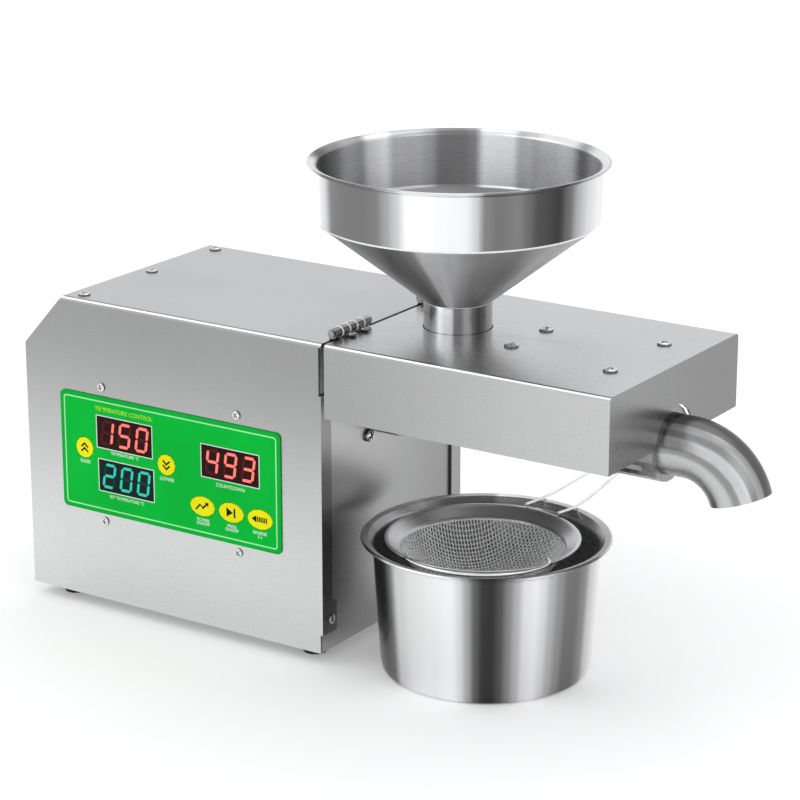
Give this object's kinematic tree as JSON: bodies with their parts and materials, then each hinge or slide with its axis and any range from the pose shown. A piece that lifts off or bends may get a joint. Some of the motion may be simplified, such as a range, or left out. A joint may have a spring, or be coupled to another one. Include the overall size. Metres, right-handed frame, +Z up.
{
  "type": "screw oil press",
  "caption": "Bench-top screw oil press: sheet-steel drive box with control panel, hinged cover over the press barrel, round hopper, cake elbow, oil cup and strainer.",
  "frame": {"origin": "middle of the bounding box in X and Y, on the table", "axes": "+X from the motor end to the cake outlet, +Y from the front panel to the back, +Z up"},
  "size_m": [0.4332, 0.1928, 0.2745],
  "materials": {
    "satin_steel": "satin brushed stainless steel sheet",
    "polished_steel": "polished stainless steel",
    "plain_steel": "plain turned or drawn steel",
    "gear_steel": "machined steel, lightly oiled",
    "cast_aluminium": "as cast",
    "brass": "turned brass",
    "black_rubber": "matt black rubber",
    "black_plastic": "moulded black plastic",
    "green_film": "printed green film, satin gloss",
    "yellow_film": "yellow key caps with black signs",
    "red_display": "dark red seven-segment display",
    "green_display": "dark green seven-segment display",
    "circuit_board": "green circuit board",
    "mica_band": "steel-clad band heater"
  },
  "bodies": {
    "root": {"chassis": "satin_steel", "housing_shell": "satin_steel", "end_cover": "satin_steel", "cake_elbow": "satin_steel", "motor_can": "plain_steel", "barrel_seat": "plain_steel", "press_barrel": "plain_steel", "end_nut": "plain_steel", "hinge_box_leaf_front": "plain_steel", "hinge_box_leaf_back": "plain_steel", "wall_bolt_front_low": "plain_steel", "wall_bolt_front_high": "plain_steel", "wall_bolt_back_low": "plain_steel", "wall_bolt_back_high": "plain_steel", "output_bearing": "gear_steel", "motor_end_bell": "cast_aluminium", "gearbox_case": "cast_aluminium", "gearbox_cover": "cast_aluminium", "layshaft_bush_motor_side": "brass", "layshaft_bush_wall_side": "brass", "output_bush": "brass", "temperature_probe": "brass", "foot_front_left": "black_rubber", "foot_front_right": "black_rubber", "foot_back_left": "black_rubber", "foot_back_right": "black_rubber", "fan_frame": "black_plastic", "power_inlet": "black_plastic", "power_switch": "black_plastic", "control_overlay": "green_film", "temperature_display": "red_display", "countdown_display": "red_display", "setting_display": "green_display", "display_board": "circuit_board", "power_board": "circuit_board", "heating_ring": "mica_band"},
    "cover": {"press_cover": "satin_steel", "heat_shield": "plain_steel", "hinge_cover_leaf_front": "plain_steel", "hinge_cover_leaf_back": "plain_steel"},
    "hopper": {"hopper": "polished_steel"},
    "motor_shaft": {"motor_rotor": "gear_steel", "motor_pinion": "gear_steel"},
    "layshaft": {"layshaft": "gear_steel", "layshaft_gear": "gear_steel"},
    "drive_screw": {"press_screw": "gear_steel", "output_shaft": "gear_steel", "output_gear": "gear_steel"},
    "fan": {"fan_rotor": "black_plastic"},
    "rocker": {"switch_rocker": "black_plastic"},
    "cup": {"oil_cup": "polished_steel"},
    "strainer": {"strainer_rim": "polished_steel", "strainer_mesh": "plain_steel", "strainer_ear": "plain_steel", "strainer_handle": "plain_steel"},
    "key_raise": {"key_raise": "yellow_film"},
    "key_lower": {"key_lower": "yellow_film"},
    "key_power": {"key_power": "yellow_film"},
    "key_press": {"key_press": "yellow_film"},
    "key_reverse": {"key_reverse": "yellow_film"}
  },
  "joints": [
    {"name": "cover_hinge", "type": "hinge", "parent": "root", "child": "cover", "pos_m": [-0.01199, -0.0095, 0.1862], "axis": [0, -1, 0], "range_deg": [0, 55]},
    {"name": "hopper_lift", "type": "slide", "parent": "cover", "child": "hopper", "axis": [0, 0, 1], "range_m": [0, 0.06]},
    {"name": "motor_spin", "type": "hinge", "parent": "root", "child": "motor_shaft", "pos_m": [-0.11659, -0.0095, 0.14], "axis": [1, 0, 0], "continuous": true},
    {"name": "layshaft_spin", "type": "hinge", "parent": "root", "child": "layshaft", "pos_m": [-0.04659, -0.0095, 0.1], "axis": [1, 0, 0], "continuous": true},
    {"name": "screw_spin", "type": "hinge", "parent": "root", "child": "drive_screw", "pos_m": [0.03341, -0.0095, 0.14], "axis": [1, 0, 0], "continuous": true},
    {"name": "fan_spin", "type": "hinge", "parent": "root", "child": "fan", "pos_m": [-0.20659, -0.0095, 0.08], "axis": [1, 0, 0], "continuous": true},
    {"name": "rocker_tilt", "type": "hinge", "parent": "root", "child": "rocker", "pos_m": [-0.09859, 0.06, 0.037], "axis": [-1, 0, 0], "range_deg": [0, 18]},
    {"name": "cup_slide", "type": "slide", "parent": "root", "child": "cup", "axis": [0, -1, 0], "range_m": [0, 0.21]},
    {"name": "strainer_lift", "type": "slide", "parent": "cup", "child": "strainer", "axis": [0, 0, 1], "range_m": [0, 0.034]},
    {"name": "key_raise_press", "type": "slide", "parent": "root", "child": "key_raise", "axis": [0, 1, 0], "range_m": [0, 0.0006], "stiffness_N_per_m": 400},
    {"name": "key_lower_press", "type": "slide", "parent": "root", "child": "key_lower", "axis": [0, 1, 0], "range_m": [0, 0.0006], "stiffness_N_per_m": 400},
    {"name": "key_power_press", "type": "slide", "parent": "root", "child": "key_power", "axis": [0, 1, 0], "range_m": [0, 0.0006], "stiffness_N_per_m": 400},
    {"name": "key_press_press", "type": "slide", "parent": "root", "child": "key_press", "axis": [0, 1, 0], "range_m": [0, 0.0006], "stiffness_N_per_m": 400},
    {"name": "key_reverse_press", "type": "slide", "parent": "root", "child": "key_reverse", "axis": [0, 1, 0], "range_m": [0, 0.0006], "stiffness_N_per_m": 400}
  ],
  "couplings": [
    {"joint": "layshaft_spin", "follows": "screw_spin", "ratio": -3.1667},
    {"joint": "motor_spin", "follows": "screw_spin", "ratio": 10.028}
  ]
}
